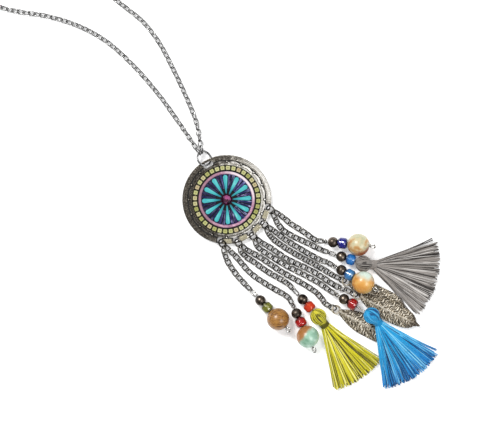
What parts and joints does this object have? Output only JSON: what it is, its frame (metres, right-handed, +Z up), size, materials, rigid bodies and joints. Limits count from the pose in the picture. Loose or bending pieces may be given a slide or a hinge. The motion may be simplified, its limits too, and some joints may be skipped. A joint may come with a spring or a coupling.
{
  "type": "tassel necklace",
  "caption": "Long necklace with a round enamelled pendant and a fringe of chains that end in stone beads, thread tassels and metal leaves, lying flat",
  "frame": {"origin": "centre of the pendant's flat back, on the surface that the necklace lies on", "axes": "+Z up from the surface out of the pendant's front, +X to the right and +Y to the top of the picture; the neck chain runs towards -X and +Y, the fringe towards +X and -Y"},
  "size_m": [0.3353, 0.2496, 0.0096],
  "materials": {
    "antique_plate": "antique silver plated casting, darkened in its recesses",
    "black_enamel": "black cold enamel",
    "turquoise_enamel": "turquoise cold enamel with a pearly gloss",
    "dark_enamel": "navy and purple cold enamel",
    "pink_enamel": "pink pearly enamel ring",
    "tile_enamel": "yellow-green enamel tiles",
    "purple_crystal": "faceted purple glass crystal",
    "steel_ring": "plain steel-coloured wire",
    "steel_chain": "plated steel cable chain",
    "antique_ring": "antique silver plated wire",
    "antique_chain": "antique silver plated cable chain",
    "antique_leaf": "antique silver plated leaf, dark between its barbs",
    "pin_wire": "plated head pin wire",
    "gunmetal_bead": "gunmetal plated round bead",
    "cream_stone": "polished cream stone with rust patches",
    "ochre_stone": "polished ochre stone with a pale green cap",
    "green_stone": "polished pale green stone with an ochre cap",
    "brown_stone": "polished brown grained stone",
    "grey_thread": "grey cotton thread",
    "blue_thread": "blue cotton thread",
    "yellow_thread": "yellow cotton thread",
    "cobalt_glass": "cobalt glass bead",
    "azure_glass": "azure glass bead",
    "pale_blue_glass": "light blue glass bead",
    "red_glass": "red glass bead",
    "orange_glass": "orange-red glass bead",
    "olive_glass": "olive glass bead with a silver lining"
  },
  "bodies": {
    "root": {"pendant_plate": "antique_plate", "enamel_field": "black_enamel", "petals_turquoise": "turquoise_enamel", "petals_dark": "dark_enamel", "pink_ring": "pink_enamel", "tile_ring": "tile_enamel", "centre_stone": "purple_crystal", "top_ring": "steel_ring", "neck_chain_left": "steel_chain", "neck_chain_right": "steel_chain", "clasp": "steel_ring", "rim_ring_1": "antique_ring", "rim_ring_2": "antique_ring", "rim_ring_3": "antique_ring", "rim_ring_4": "antique_ring", "rim_ring_5": "antique_ring", "drop_chain_1": "antique_chain", "drop_chain_2": "antique_chain", "drop_chain_3": "antique_chain", "drop_chain_4": "antique_chain", "drop_chain_5": "antique_chain", "drop_chain_6": "antique_chain", "drop_chain_7": "antique_chain", "drop_chain_8": "antique_chain", "drop_chain_9": "antique_chain", "drop_chain_10": "antique_chain", "stone_1": "cream_stone", "stone_3": "ochre_stone", "stone_9": "green_stone", "stone_10": "brown_stone", "tassel_2": "grey_thread", "tassel_6": "blue_thread", "tassel_8": "yellow_thread", "leaf_4": "antique_leaf", "leaf_5": "antique_leaf", "leaf_7": "antique_leaf", "leaf_ring_4": "antique_ring", "leaf_ring_5": "antique_ring", "leaf_ring_7": "antique_ring", "pin_1": "pin_wire", "pin_2": "pin_wire", "pin_3": "pin_wire", "pin_6": "pin_wire", "pin_8": "pin_wire", "pin_9": "pin_wire", "pin_10": "pin_wire", "metal_bead_1": "gunmetal_bead", "metal_bead_2": "gunmetal_bead", "metal_bead_3": "gunmetal_bead", "metal_bead_6": "gunmetal_bead", "metal_bead_8": "gunmetal_bead", "metal_bead_9": "gunmetal_bead", "metal_bead_10": "gunmetal_bead", "glass_bead_1": "cobalt_glass", "glass_bead_2": "azure_glass", "glass_bead_3": "pale_blue_glass", "glass_bead_6": "red_glass", "glass_bead_8": "orange_glass", "glass_bead_9": "red_glass", "glass_bead_10": "olive_glass"}
  },
  "joints": []
}
